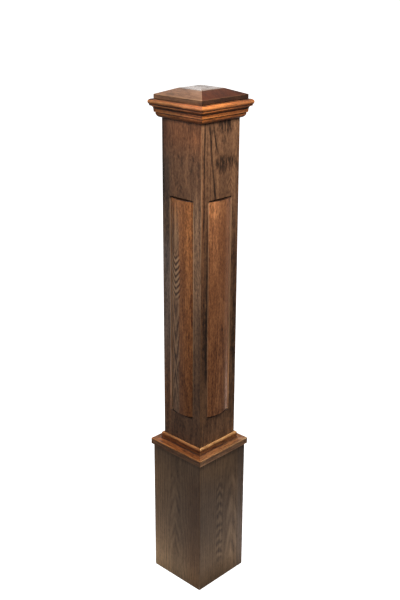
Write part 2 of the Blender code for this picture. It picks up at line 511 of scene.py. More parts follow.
@dataclass(frozen=True)
class OakFinish:
    """Stained oak under a satin coat."""

    stain: Stain
    grain: Grain = Grain.UP_THE_POST
    gloss: float = 0.4
    coat_roughness: float = 0.3
    coat_index: float = 1.45
    relief: float = 0.35
    relief_depth: float = 0.00035

    def material(
        self,
        name: str,
        side: Side,
        figure: Figure,
        wear: Wear,
        tint: Tint | None = None,
        dull: Wear | None = None,
    ) -> bpy.types.Material:
        """Makes the finish of one piece.

        Args:
            name: the material's name.
            side: the side that the piece is on.
            figure: how its board was cut.
            wear: gives how far the stain is rubbed off, from the place; on some pieces it is a painted
                highlight.
            tint: changes the colour last, with painted shade and light on most pieces and another tone on the
                cap.
            dull: gives what is added to the roughness, for a piece that has a duller part.

        Returns:
            The material.
        """
        made = bpy.data.materials.new(name)
        made.use_nodes = True
        graph = Graph(made.node_tree)
        place = BoardPlace(graph, side, self.grain, figure.seed)
        pores, band = self._rings(place, figure)
        fibres = place.noise(560.0, 14.0, 1.0, 3.0, 0.65)
        blotch = place.noise(26.0, 6.0, 2.0, 3.0, 0.55)
        stripes = place.noise(170.0, 4.5, 3.0, 2.0, 0.55)
        broken = place.noise(300.0, 50.0, 6.0, 2.0, 0.7)
        fleck = place.noise(300.0, 140.0, 4.0, 1.5, 0.6)
        grain = (
            (band - 0.4) * figure.rings
            + (blotch - 0.5) * figure.blotch
            + (fibres - 0.5) * 0.95
            + (stripes - 0.5) * 0.35
            + (broken - 0.5) * 0.8
            + (fleck - 0.5) * self.stain.fleck
            + pores * 0.3
        )
        darkness = grain * self.stain.contrast + figure.level
        for feature in figure.features:
            darkness = darkness + feature.field(place)
        darkness = darkness.clamped()
        ramp = graph.node(
            "ShaderNodeValToRGB",
            {"stops": ((0.0, self.stain.light), (0.45, self.stain.middle), (1.0, self.stain.dark))},
            {0: darkness},
        )
        colour = graph.mix((wear(place) * (1.0 - pores * 0.6)).clamped(), ramp.outputs[0], self.stain.rubbed_and_highlit)
        for shade in figure.shades:
            colour = shade.mixed(place, colour)
        if tint is not None:
            colour = tint(place, colour)
        smear = place.noise(9.0, 4.0, 5.0, 3.0)
        roughness = (darkness - 0.5) * 0.1 + (smear - 0.5) * 0.12 + (pores * 0.15 + self.stain.roughness)
        if dull is not None:
            roughness = roughness + dull(place)
        height = (fibres - 0.5) * 0.35 - pores - band * 0.25 + (stripes - 0.5) * 0.3
        relief = {"Strength": self.relief, "Distance": self.relief_depth, "Height": height}
        bump = graph.node("ShaderNodeBump", inputs=relief)
        shader = graph.node(
            "ShaderNodeBsdfPrincipled",
            inputs={
                "Base Color": colour,
                "Roughness": roughness.clamped(),
                "Specular IOR Level": self.gloss,
                "Coat Weight": self.stain.coat,
                "Coat Roughness": self.coat_roughness,
                "Coat IOR": self.coat_index,
                "Normal": bump.outputs[0],
            },
        )
        graph.node("ShaderNodeOutputMaterial", inputs={0: shader.outputs[0]})
        return made

    @staticmethod
    def _rings(place: BoardPlace, figure: Figure) -> tuple[Value, Value]:
        """The growth rings of a board.

        Args:
            place: the place in the board.
            figure: how it was cut.

        Returns:
            The open pores, and the dark early band of each ring.
        """
        sway = (place.noise(9.0, 5.0, 11.0) - 0.5) * 0.016
        ripple = (place.noise(70.0, 14.0, 12.0) - 0.5) * 0.0022
        x = place.across - figure.heart_across + sway
        d = place.along * figure.heart_slope + figure.heart_depth + sway
        ring = ((x * x + d * d).root() + ripple) / figure.ring
        turn = place.graph.math("FRACT", ring)
        band = turn.rising(0.02, 0.2) * turn.falling(0.35, 0.85)
        cells = place.noise(1500.0, 55.0, 13.0, 2.0, 0.6).rising(0.53, 0.66)
        return cells * (band * 0.75 + 0.25), band


def near_point(place: BoardPlace, out: float, up: float, full: float, none: float) -> Value:
    """How near a point of a section is.

    Args:
        place: the place on the piece.
        out: the point's distance from the axis.
        up: its height.
        full: the distance within which the result is 1.
        none: the distance at which it is 0.

    Returns:
        From 0, far, to 1, near.
    """
    x = place.out - out
    y = place.up - up
    return (x * x + y * y).root().falling(full, none)


def rubbed(place: BoardPlace, edge: Value, amount: float) -> Value:
    """Breaks a line of wear, and of painted highlight where it stands for one, into longer and shorter
    patches.

    Args:
        place: the place on the piece.
        edge: where the arris is, from 0 to 1.
        amount: how strongly the edge is lightened at most, by wear and painted highlight.

    Returns:
        The wear.
    """
    patchy = place.noise(40.0, 24.0, 51.0, 3.0, 0.6).rising(0.34, 0.6) * 0.7 + 0.3
    return edge * patchy * amount


def darkened_by_shade_and_stain(place: BoardPlace, colour: Socket, share: Value) -> Socket:
    """Darkens the wood: painted shade in recesses, grooves and under parts, and dark stain in joints and
    grain.

    Args:
        place: the place on the piece.
        colour: the wood's colour.
        share: how dark it gets, from painted shade and gathered stain.

    Returns:
        The darkened colour.
    """
    return place.graph.mix(share.clamped(), colour, SHADE_AND_STAIN_DARK)


# Mesh shapes


def arc(centre: Point, reach: float, rise: float, start: float, end: float, steps: int) -> list[Point]:
    """Points on an ellipse.

    Args:
        centre: its centre.
        reach: half its width.
        rise: half its height.
        start: the first angle, in degrees.
        end: the last angle, in degrees.
        steps: how many steps lie between them.

    Returns:
        The points, both ends with them.
    """
    points = []
    for step in range(steps + 1):
        angle = math.radians(start + (end - start) * step / steps)
        points.append((centre[0] + reach * math.cos(angle), centre[1] + rise * math.sin(angle)))
    return points


def eased(section: Sequence[Point], radius: float, inner: float) -> list[Point]:
    """Rounds the sharp outward corners of a closed section.

    Args:
        section: its points, counter-clockwise, as (distance from the axis, height).
        radius: the radius of the rounding.
        inner: corners no further out than this are hidden and stay sharp.

    Returns:
        The section with small arcs at those corners.
    """
    rounded: list[Point] = []
    count = len(section)
    for number, here in enumerate(section):
        before = Vector(section[number - 1]) - Vector(here)
        after = Vector(section[(number + 1) % count]) - Vector(here)
        turn = math.pi - before.angle(after)
        convex = before.x * after.y - before.y * after.x < 0
        if turn < SHARP_TURN or not convex or here[0] <= inner:
            rounded.append(here)
            continue
        reach = min(radius * math.tan(turn / 2), before.length * 0.45, after.length * 0.45)
        start = Vector(here) + before.normalized() * reach
        end = Vector(here) + after.normalized() * reach
        for step in range(LIP_STEPS + 1):
            share = step / LIP_STEPS
            low = start.lerp(Vector(here), share)
            high = Vector(here).lerp(end, share)
            rounded.append(tuple(low.lerp(high, share)))
    return rounded


def plan_path(distance: float, corner: float, roundness: float) -> list[Point]:
    """The path of one point of a section along the front side, from mitre to mitre.

    Args:
        distance: the point's distance from the axis.
        corner: the radius of the post's vertical corner there.
        roundness: 1 where the corner is round and 0 where it is sharp.

    Returns:
        The path's points as (x, y).
    """
    sweep = math.pi / 4 - math.asin(GAP / (2 * corner))
    end = []
    for step in range(CORNER_STEPS + 1):
        share = step / CORNER_STEPS
        angle = share * sweep
        sharp = Vector((distance - corner + (corner - GAP / math.sqrt(2)) * share, -distance))
        round_ = Vector((math.sin(angle), 1 - math.cos(angle))) * corner
        round_ += Vector((distance - corner, -distance))
        end.append(tuple(sharp.lerp(round_, roundness)))
    return [(-x, y) for x, y in reversed(end)] + end


def finished_mesh(name: str, shape: bmesh.types.BMesh) -> bpy.types.Mesh:
    """Turns a shape's faces outwards, shades it and frees it.

    Args:
        name: the mesh's name.
        shape: the closed shape.

    Returns:
        The mesh.
    """
    bmesh.ops.recalc_face_normals(shape, faces=shape.faces)
    mesh = bpy.data.meshes.new(name)
    shape.to_mesh(mesh)
    shape.free()
    mesh.shade_smooth()
    mesh.set_sharp_from_angle(angle=SMOOTH_ANGLE)
    return mesh


def skin(shape: bmesh.types.BMesh, loops: Sequence[Sequence[bmesh.types.BMVert]], closed: bool) -> None:
    """Joins neighbouring loops of vertices with four-sided faces.

    Args:
        shape: the shape that holds them.
        loops: loops of equal length.
        closed: whether each loop runs round to its start.
    """
    for low, high in zip(loops, loops[1:]):
        for number in range(len(low) if closed else len(low) - 1):
            following = (number + 1) % len(low)
            shape.faces.new((low[number], low[following], high[following], high[number]))


def mitred_shape(section: Sequence[Point], corner: float, inner: float) -> bmesh.types.BMesh:
    """Runs a closed section along the front side between its two mitres.

    Args:
        section: its points as (distance from the axis, height).
        corner: the radius of the vertical corners at its outer points.
        inner: points no further out than this keep a sharp corner.

    Returns:
        The closed shape.
    """
    shape = bmesh.new()
    rows = []
    for out, up in section:
        roundness = 1.0 if out > inner + GAP else 0.0
        rows.append([shape.verts.new((x, y, up)) for x, y in plan_path(out, corner, roundness)])
    skin(shape, [*rows, rows[0]], closed=False)
    shape.faces.new([row[0] for row in rows])
    shape.faces.new([row[-1] for row in rows])
    return shape


def rounded_rectangle(half_width: float, half_height: float, radius: float, spans: int) -> list[Point]:
    """An upright outline with round corners, whose upper and lower points stand over each other.

    Args:
        half_width: half its width.
        half_height: half its height.
        radius: the radius of its corners.
        spans: how many spans its straight ends are cut into.

    Returns:
        Its upper points from left to right, then its lower points from right to left.
    """
    x = half_width - radius
    z = half_height - radius
    upper = arc((-x, z), radius, radius, 180, 90, OUTLINE_STEPS)
    upper += [(-x + 2 * x * number / spans, half_height) for number in range(1, spans)]
    upper += arc((x, z), radius, radius, 90, 0, OUTLINE_STEPS)
    return upper + [(a, -b) for a, b in reversed(upper)]


def quarter_round(radius: float) -> list[Point]:
    """How far the steps of a small rounding lie from its end and from its start."""
    angles = [math.pi / 2 * step / LIP_STEPS for step in range(LIP_STEPS + 1)]
    return [(radius * (1 - math.sin(angle)), radius * (1 - math.cos(angle))) for angle in angles]


def placed(name: str, data: bpy.types.ID) -> bpy.types.Object:
    """Puts a mesh, light or camera into the scene as an object.

    Args:
        name: the object's name.
        data: what it shows.

    Returns:
        The object.
    """
    made = bpy.data.objects.new(name, data)
    bpy.context.scene.collection.objects.link(made)
    return made


# Sub-assemblies


@dataclass(frozen=True)
class PieceKind:
    """A kind of piece that is the same shape on every side, cut each time from another board."""

    piece: str
    node: str
    slot: str
    oak: str
    mesh: bpy.types.Mesh
    finish: OakFinish
    figures: Mapping[Side, Figure]
    wear: Wear
    tint: Tint | None = None


@dataclass
class SubAssembly:
    """What every sub-assembly shares: how its pieces are set on their sides and stand for their nodes."""

    def stand_for(
        self, name: str, mesh: bpy.types.Mesh, node: str, slot: str, turn: float, oak: bpy.types.Material
    ) -> bpy.types.Object:
        """Sets a piece in the place of its node.

        Args:
            name: the piece's name.
            mesh: its mesh, shaped on the front side.
            node: the node of the frame that it stands for.
            slot: not used.
            turn: the turn from the front to its side.
            oak: its finish.

        Returns:
            The piece.
        """
        own = mesh.copy()
        own.name = name
        own.transform(Matrix.Rotation(turn, 4, "Z"))
        own.materials.clear()
        own.materials.append(oak)
        piece = placed(name, own)
        weights = piece.modifiers.new("Even shading", "WEIGHTED_NORMAL")
        weights.keep_sharp = True
        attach(piece, BODY)
        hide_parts(node)
        return piece

    def all_round(self, *kinds: PieceKind) -> list[bpy.types.Object]:
        """Sets one piece of each kind on every side.

        Args:
            kinds: the kinds of piece.

        Returns:
            The pieces.
        """
        made = []
        for side in Side:
            for kind in kinds:
                name, node, oak = (f"{word}_{side.label}" for word in (kind.piece, kind.node, kind.oak))
                finish = kind.finish.material(oak, side, kind.figures[side], kind.wear, kind.tint)
                made.append(self.stand_for(name, kind.mesh, node, kind.slot, side.turn, finish))
        return made


@dataclass
class Shaft(SubAssembly):
    """Four mitred boards, each with a tall recess that holds a bowed panel."""

    half: float = 0.0603
    board: float = 0.019
    height: float = 1.1959
    corner: float = 0.0012
    recess_half_width: float = 0.036
    recess_foot: float = 0.4554
    recess_top: float = 0.9847
    recess_depth: float = 0.009
    recess_round: float = 0.005
    recess_lip: float = 0.0014
    panel_side_gap: float = 0.0005
    panel_end_gap: float = 0.002
    panel_bow: float = 0.009
    panel_proud: float = 0.0045
    panel_edge: float = 0.0007
    panel_spans: int = 30
    recess_spans: int = 4

    @property
    def middle(self) -> float:
        """Height of the recess's middle."""
        return (self.recess_top + self.recess_foot) / 2

    @property
    def recess_half_height(self) -> float:
        """Half the recess's height."""
        return (self.recess_top - self.recess_foot) / 2

    @property
    def panel_half_width(self) -> float:
        """Half the panel's width."""
        return self.recess_half_width - self.panel_side_gap

    @property
    def panel_half_height(self) -> float:
        """Half the panel's height."""
        return self.recess_half_height - self.panel_end_gap

    def board_mesh(self) -> bpy.types.Mesh:
        """A board with its recess, on the front side."""
        inner = self.half - self.board
        section = [(inner, 0.0), (self.half, 0.0), (self.half, self.height), (inner, self.height)]
        shape = mitred_shape(section, self.corner, inner)
        face = min(shape.faces, key=lambda item: (round(item.calc_center_median().y, 5), -item.calc_area()))
        rim = list(face.edges)
        bmesh.ops.delete(shape, geom=[face], context="FACES_ONLY")
        steps = [*quarter_round(self.recess_lip), (0.0, self.recess_depth)]
        loops = [self._recess_loop(shape, spread, sink) for spread, sink in steps]
        skin(shape, loops, closed=True)
        shape.faces.new(loops[-1])
        mouth = [shape.edges.get((a, b)) for a, b in zip(loops[0], loops[0][1:] + loops[0][:1])]
        bmesh.ops.triangle_fill(shape, use_beauty=True, edges=rim + mouth, normal=(0.0, -1.0, 0.0))
        return finished_mesh("shaft_board", shape)

    def _recess_loop(self, shape: bmesh.types.BMesh, spread: float, sink: float) -> list[bmesh.types.BMVert]:
        """One loop of vertices round the recess.

        Args:
            shape: the board.
            spread: how far the loop is outside the recess's own outline.
            sink: how far it is behind the board's face.

        Returns:
            The loop.
        """
        half_width, half_height = self.recess_half_width + spread, self.recess_half_height + spread
        outline = rounded_rectangle(half_width, half_height, self.recess_round + spread, self.recess_spans)
        return [shape.verts.new((x, sink - self.half, self.middle + z)) for x, z in outline]

    def panel_mesh(self) -> bpy.types.Mesh:
        """A bowed panel with eased edges, on the front side."""
        shape = bmesh.new()
        loops = [self._panel_loop(shape, 0.0, None)]
        loops += [self._panel_loop(shape, inset, sink) for sink, inset in quarter_round(self.panel_edge)]
        skin(shape, loops, closed=True)
        shape.faces.new(loops[0])
        front = loops[-1]
        half_count = len(front) // 2
        skin(shape, [front[:half_count], front[: half_count - 1 : -1]], closed=False)
        return finished_mesh("panel", shape)

    def _panel_loop(
        self, shape: bmesh.types.BMesh, inset: float, sink: float | None
    ) -> list[bmesh.types.BMVert]:
        """One loop of vertices round the panel.

        Args:
            shape: the panel.
            inset: how far the loop is inside the panel's outline.
            sink: how far it is behind the bow, or None on the flat back.

        Returns:
            The loop.
        """
        half_width, half_height = self.panel_half_width - inset, self.panel_half_height - inset
        corner = self.recess_round - self.panel_side_gap - inset
        radius = (self.panel_half_width**2 + self.panel_bow**2) / (2 * self.panel_bow)
        centre = self.half + self.panel_proud - radius
        back = self.half - self.recess_depth + GAP
        loop = []
        for x, z in rounded_rectangle(half_width, half_height, corner, self.panel_spans):
            out = back if sink is None else centre + math.sqrt(radius**2 - x**2) - sink
            loop.append(shape.verts.new((x, -out, self.middle + z)))
        return loop

    def board_wear(self, place: BoardPlace) -> Value:
        """Rubbed corners and long lips of the recess, lightened as painted highlights."""
        corner = abs(place.sideways) + place.out
        arris = corner.rising(2 * self.half - 0.0020, 2 * self.half - 0.0008)
        upper = place.up.rising(0.5, 1.0) * 0.75 + 0.25
        lip = abs(place.sideways).around(self.recess_half_width, (-0.0006, 0.0, 0.0012, 0.0024))
        low, high = self.recess_foot, self.recess_top
        beside = place.up.over((low, low + 0.06, high - 0.008, high))
        return rubbed(place, arris * upper, 0.45).maximum(lip * beside * 0.85)

    def board_tint(self, place: BoardPlace, colour: Socket) -> Socket:
        """Painted light on the recess walls, and painted shade at the recess's ends."""
        aside = abs(place.sideways)
        sunk = place.out.falling(self.half - 0.0012, self.half - 0.0004)
        open_side = aside.rising(self.recess_half_width - 0.003, self.recess_half_width - 0.001)
        # Painted light: the recess walls made pale, as if well lit.
        colour = place.graph.mix((sunk * open_side * 0.95).clamped(), colour, PAINTED_LIGHT_WALL)
        # Painted shade at the recess's top and foot.
        top = place.up.around(self.recess_top, (-0.004, -0.002, 0.0004, 0.0014))
        foot = place.up.around(self.recess_foot, (-0.0022, -0.0004, 0.002, 0.003))
        inside = aside.falling(self.recess_half_width - 0.001, self.recess_half_width + 0.0006)
        return darkened_by_shade_and_stain(place, colour, (top + foot * 0.75) * inside * 0.95)

    def panel_wear(self, place: BoardPlace) -> Value:
        """Rubbed long edges of a panel, lightened as a painted highlight."""
        edge = abs(place.sideways).rising(self.panel_half_width - 0.0045, self.panel_half_width - 0.0012)
        return rubbed(place, edge, 0.75)

    def panel_tint(self, place: BoardPlace, colour: Socket) -> Socket:
        """Painted shade on a panel's upper and lower ends, where the recess shades them."""
        away = abs(place.up - self.middle)
        end = away.rising(self.panel_half_height - 0.0016, self.panel_half_height - 0.0004)
        return darkened_by_shade_and_stain(place, colour, end * 0.92)

    def build(self, boards: Mapping[Side, Figure], panels: Mapping[Side, Figure]) -> list[bpy.types.Object]:
        """Builds and dresses the boards and panels.

        Args:
            boards: each board's figure.
            panels: each panel's figure.

        Returns:
            The pieces.
        """
        board = PieceKind(
            "shaft_stave", "shaft_board", "shaft", "shaft_oak", self.board_mesh(),
            OakFinish(WALNUT), boards, self.board_wear, self.board_tint,
        )
        panel = PieceKind(
            "bowed_panel", "panel", "panel", "panel_oak", self.panel_mesh(),
            OakFinish(PANEL_RUSSET), panels, self.panel_wear, self.panel_tint,
        )
        return self.all_round(board, panel)


@dataclass
class Crown(SubAssembly):
    """The moulding round the top of the shaft: ovolo, frieze, cove, fillet and bead, from the foot up."""

    shaft_half: float = 0.0603
    top: float = 1.1959
    corner: float = 0.0006
    ovolo_flat: float = 0.0006
    ovolo_reach: float = 0.009
    ovolo_rise: float = 0.0106
    frieze_step: float = 0.0026
    frieze_lift: float = 0.0012
    frieze_height: float = 0.0073
    cove: float = 0.0063
    fillet_step: float = 0.0006
    fillet_height: float = 0.0032
    bead_radius: float = 0.0065
    bead_nose: float = 0.0025
    ease: float = 0.0005

    @property
    def inner(self) -> float:
        """Distance of the crown's inner faces from the axis."""
        return self.shaft_half + GAP

    @property
    def ovolo(self) -> Point:
        """Outer edge of the ovolo, as (distance from the axis, height above the crown's foot)."""
        return self.inner + self.ovolo_flat + self.ovolo_reach, self.ovolo_rise

    @property
    def frieze(self) -> Point:
        """Lower edge of the frieze, measured in the same way."""
        return self.ovolo[0] + self.frieze_step, self.ovolo_rise + self.frieze_lift

    @property
    def fillet(self) -> Point:
        """Lower edge of the fillet, measured in the same way."""
        return self.frieze[0] + self.fillet_step + self.cove, self.frieze[1] + self.frieze_height + self.cove

    @property
    def bead(self) -> Point:
        """Centre of the bead, measured in the same way."""
        sink = self.bead_radius - self.bead_nose
        drop = math.sqrt(self.bead_radius**2 - sink**2)
        return self.fillet[0] - sink, self.fillet[1] + self.fillet_height + drop

    @property
    def foot(self) -> float:
        """Height of the crown's underside."""
        return self.top - self.bead[1] - self.bead_radius

    def section(self) -> list[Point]:
        """The crown's section as (distance from the axis, height)."""
        ovolo, ovolo_top = self.ovolo
        frieze, frieze_foot = self.frieze
        fillet, fillet_foot = self.fillet
        bead, bead_up = self.bead
        drop = bead_up - fillet_foot - self.fillet_height
        start = -math.degrees(math.asin(drop / self.bead_radius))
        points = [(self.inner, 0.0)]
        points += arc((ovolo - self.ovolo_reach, ovolo_top), self.ovolo_reach, ovolo_top, 270, 360, ARC_STEPS)
        points += [(ovolo, frieze_foot), (frieze, frieze_foot)]
        points += arc((fillet, fillet_foot - self.cove), self.cove, self.cove, 180, 90, ARC_STEPS)
        points += arc((bead, bead_up), self.bead_radius, self.bead_radius, start, 90, 2 * ARC_STEPS)
        points.append((self.inner, bead_up + self.bead_radius))
        return eased([(out, self.foot + up) for out, up in points], self.ease, self.inner + GAP)

    def wear(self, place: BoardPlace) -> Value:
        """Rubbed nose of the bead and rubbed frieze edge."""
        nose = max(self.section())
        bead = near_point(place, nose[0], nose[1] + 0.0012, 0.0008, 0.0034)
        edge = near_point(place, self.frieze[0], self.foot + self.frieze[1] + 0.001, 0.0006, 0.0022)
        return rubbed(place, (bead + edge * 0.7).clamped(), 0.42)

    def tint(self, place: BoardPlace, colour: Socket) -> Socket:
        """Painted shade in the grooves, against the shaft and under the cap; dark stain along the mitres."""
        frieze, frieze_foot = self.frieze
        grooves = (
            (self.fillet[0], self.fillet[1] + self.fillet_height, 0.0007, 0.0021),
            (frieze + 0.0006, frieze_foot + self.frieze_height + 0.0012, 0.0006, 0.0022),
            (self.ovolo[0], frieze_foot - 0.0006, 0.0008, 0.0021),
            (self.shaft_half, 0.0, 0.0012, 0.0030),
        )
        dark = place.up.rising(self.top - 0.0016, self.top - 0.0004) * 0.85
        for out, up, full, none in grooves:
            dark = dark.maximum(near_point(place, out, self.foot + up, full, none))
        mitre = (place.out - abs(place.sideways)).falling(0.0003, 0.0012) * 0.45
        patchy = place.noise(30.0, 60.0, 71.0, 3.0, 0.6).rising(0.25, 0.6) * 0.4 + 0.6
        return darkened_by_shade_and_stain(place, colour, dark.maximum(mitre) * patchy * 0.9)

    def build(self, figures: Mapping[Side, Figure]) -> list[bpy.types.Object]:
        """Builds and dresses the four lengths.

        Args:
            figures: each length's figure.

        Returns:
            The pieces.
        """
        mesh = finished_mesh("crown", mitred_shape(self.section(), self.corner, self.inner))
        finish = OakFinish(CROWN_RUSSET, Grain.ALONG_THE_SIDE)
        kind = PieceKind(
            "crown_length", "crown", "crown", "crown_oak", mesh, finish, figures, self.wear, self.tint
        )
        return self.all_round(kind)


@dataclass
class Cap(SubAssembly):
    """The block on top: a square edge band, four low slopes and a small flat."""

    half: float = 0.0729
    foot: float = 1.1962
    band: float = 0.0096
    rise: float = 0.0134
    flat_half: float = 0.035
    corner: float = 0.0011
    ease: float = 0.0012

    @property
    def top(self) -> float:
        """Height of the flat."""
        return self.foot + self.band + self.rise

    def mesh(self) -> bpy.types.Mesh:
        """The block as stacked square loops with round corners."""
        section = [
            (0.0, self.foot),
            (self.half, self.foot),
            (self.half, self.foot + self.band),
            (self.flat_half, self.top),
            (0.0, self.top),
        ]
        shape = bmesh.new()
        loops = []
        for half, up in eased(section, self.ease, GAP)[1:-1]:
            centre = (half - self.corner, half - self.corner)
            quarter = arc(centre, self.corner, self.corner, 0, 90, CAP_CORNER_STEPS)
            plan = []
            for turn in range(4):
                spin = Matrix.Rotation(turn * math.pi / 2, 2)
                plan += [spin @ Vector(point) for point in quarter]
            loops.append([shape.verts.new((x, y, up)) for x, y in plan])
        skin(shape, loops, closed=True)
        shape.faces.new(loops[0])
        shape.faces.new(loops[-1])
        return finished_mesh("cap_block", shape)

    def wear(self, place: BoardPlace) -> Value:
        """Rubbed hips, band edge and flat edge."""
        x = abs(place.sideways)
        y = abs(place.out)
        hip = abs(x - y).falling(0.0003, 0.0016) * place.up.rising(self.foot + 0.004, self.foot + 0.012)
        edge = abs(place.up - (self.foot + self.band)).falling(0.0002, 0.0011)
        flat = abs(x.maximum(y) - self.flat_half).falling(0.0002, 0.0012)
        return rubbed(place, (hip * 0.7 + edge * 0.9 + flat * 0.6).clamped(), 0.5)

    def _across_grain(self, place: BoardPlace) -> Value:
        """The two slopes that cut across the fibres."""
        return (abs(place.sideways) - abs(place.out)).rising(-0.0002, 0.0006)

    def _below_flat(self, place: BoardPlace) -> Value:
        """All of the block but its flat."""
        return place.up.falling(self.top - self.ease, self.top)

    def tint(self, place: BoardPlace, colour: Socket) -> Socket:
        """The slopes that cut across the fibres and the band's end grain drank more stain."""
        mix = place.graph.mix
        sloping = self._below_flat(place)
        end_grain = abs(place.sideways).rising(self.half - 0.0012, self.half - 0.0004)
        thirsty = self._across_grain(place) * sloping * (1.0 - end_grain) * 0.95
        colour = mix(sloping, colour, SLOPE_GAIN, "MULTIPLY")
        colour = mix(thirsty.clamped(), colour, THIRSTY_GAIN, "MULTIPLY")
        colour = mix(end_grain, colour, END_GRAIN_GAIN, "MULTIPLY")
        return mix(1.0 - sloping, colour, FLAT_GAIN, "MULTIPLY")

    def dull(self, place: BoardPlace) -> Value:
        """The slopes that cut across the fibres are dull; the flat is smooth."""
        smooth = place.up.rising(self.top - 0.0008, self.top)
        return self._across_grain(place) * self._below_flat(place) * 0.42 - smooth * 0.12

    def build(self, figure: Figure) -> list[bpy.types.Object]:
        """Builds and dresses the cap.

        Args:
            figure: its figure.

        Returns:
            The piece, alone in a list.
        """
        finish = OakFinish(CAP_WALNUT, Grain.LYING_FLAT).material(
            "cap_oak", Side.FRONT, figure, self.wear, self.tint, self.dull
        )
        return [self.stand_for("cap_block", self.mesh(), "cap", "cap", 0.0, finish)]


@dataclass
class Base(SubAssembly):
    """Mitred boards round the foot of the shaft, a proud band on them and a stepped moulding on the band."""

    shaft_half: float = 0.0603
    board: float = 0.0187
    board_height: float = 0.3542
    board_corner: float = 0.0015
    band_proud: float = 0.0046
    band_height: float = 0.0124
    band_corner: float = 0.001
    ridge_width: float = 0.0048
    ridge_round: float = 0.0034
    ridge_wall: float = 0.0109
    cove: float = 0.0035
    tread: float = 0.0026
    tread_round: float = 0.0013
    moulding_corner: float = 0.0006
    ease: float = 0.0007
    moulding_ease: float = 0.0003

    @property
    def inner(self) -> float:
        """Distance of the base's inner faces from the axis."""
        return self.shaft_half + GAP

    @property
    def half(self) -> float:
        """Half the base's width."""
        return self.inner + self.board

    @property
    def band_foot(self) -> float:
        """Height of the band's underside."""
        return self.board_height + GAP

    @property
    def moulding_foot(self) -> float:
        """Height of the moulding's underside."""
        return self.band_foot + self.band_height + GAP

    @property
    def ridge_top(self) -> float:
        """Height of the ridge's top."""
        return self.moulding_foot + self.tread + self.cove + self.ridge_wall + self.ridge_round

    def board_mesh(self) -> bpy.types.Mesh:
        """A base board on the front side."""
        section = [
            (self.inner, 0.0),
            (self.half, 0.0),
            (self.half, self.board_height),
            (self.inner, self.board_height),
        ]
        section = eased(section, self.ease, self.inner)
        return finished_mesh("base_board", mitred_shape(section, self.board_corner, self.inner))

    def band_mesh(self) -> bpy.types.Mesh:
        """A length of the band on the front side."""
        low, high = self.band_foot, self.band_foot + self.band_height
        outer = self.half + self.band_proud
        section = [(self.inner, low), (outer, low), (outer, high), (self.inner, high)]
        section = eased(section, self.ease, self.inner)
        return finished_mesh("base_band", mitred_shape(section, self.band_corner, self.inner))

    def moulding_section(self) -> list[Point]:
        """The moulding's section: tread, cove and a ridge against the shaft."""
        foot = self.moulding_foot
        outer = self.half + self.band_proud
        ridge = self.inner + self.ridge_width
        points = [(self.inner, foot), (outer, foot)]
        edge = (outer - self.tread_round, foot + self.tread - self.tread_round)
        points += arc(edge, self.tread_round, self.tread_round, 0, 90, LIP_STEPS)
        cove = (ridge + self.cove, foot + self.tread + self.cove)
        points += arc(cove, self.cove, self.cove, 270, 180, ARC_STEPS)
        top = (ridge - self.ridge_round, self.ridge_top - self.ridge_round)
        points += arc(top, self.ridge_round, self.ridge_round, 0, 90, ARC_STEPS)
        points.append((self.inner, self.ridge_top))
        return eased(points, self.moulding_ease, self.inner)

    def moulding_mesh(self) -> bpy.types.Mesh:
        """A length of the moulding on the front side."""
        shape = mitred_shape(self.moulding_section(), self.moulding_corner, self.inner)
        return finished_mesh("base_moulding", shape)

    def board_wear(self, place: BoardPlace) -> Value:
        """Rubbed corners and foot of the base."""
        corner = abs(place.sideways) + place.out
        arris = corner.rising(2 * self.half - 0.0022, 2 * self.half - 0.0009)
        foot = place.up.falling(0.0002, 0.0014)
        return rubbed(place, arris.maximum(foot), 0.22)

    def band_wear(self, place: BoardPlace) -> Value:
        """Rubbed lower edge of the band."""
        edge = near_point(place, self.half + self.band_proud, self.band_foot, 0.0006, 0.0020)
        return rubbed(place, edge, 0.4)

    def moulding_wear_and_highlight(self, place: BoardPlace) -> Value:
        """Rubbed ridge and tread edge of the moulding, lightened as painted highlights."""
        ridge = self.inner + self.ridge_width - 0.001
        ridge = near_point(place, ridge, self.ridge_top - 0.001, 0.0030, 0.0048)
        edge = self.half + self.band_proud
        tread = near_point(place, edge, self.moulding_foot + self.tread, 0.0008, 0.0024)
        return rubbed(place, ridge.maximum(tread * 0.5), 1.0)

    def moulding_tint(self, place: BoardPlace, colour: Socket) -> Socket:
        """Painted shade on the moulding's wall, in its cove and against the shaft; dark grain lines along the
        tread.
        """
        ridge = self.inner + self.ridge_width
        low = self.moulding_foot + self.tread
        groove = place.up.around(low, (0.0, 0.0004, 0.0026, 0.0050))
        under = place.up.falling(self.ridge_top - 0.0070, self.ridge_top - 0.0045) * 0.42
        wall = place.out.falling(ridge + 0.0008, ridge + 0.0030) * groove.maximum(under)
        tread = place.out.rising(ridge + 0.0040, ridge + 0.0060) * place.up.rising(low - 0.0004, low - 0.0001)
        lines = place.noise(190.0, 20.0, 73.0, 3.0, 0.6).rising(0.50, 0.62) * tread * 0.42
        shaft = near_point(place, self.inner, self.ridge_top, 0.0006, 0.0016)
        patchy = place.noise(40.0, 40.0, 72.0, 3.0, 0.6).rising(0.25, 0.6) * 0.35 + 0.65
        return darkened_by_shade_and_stain(place, colour, wall.maximum(shaft).maximum(lines) * patchy * 0.8)

    def board_tint(self, place: BoardPlace, colour: Socket) -> Socket:
        """Painted shade under the band."""
        under = place.up.rising(self.board_height - 0.0036, self.board_height - 0.0010)
        return darkened_by_shade_and_stain(place, colour, under * 0.7)

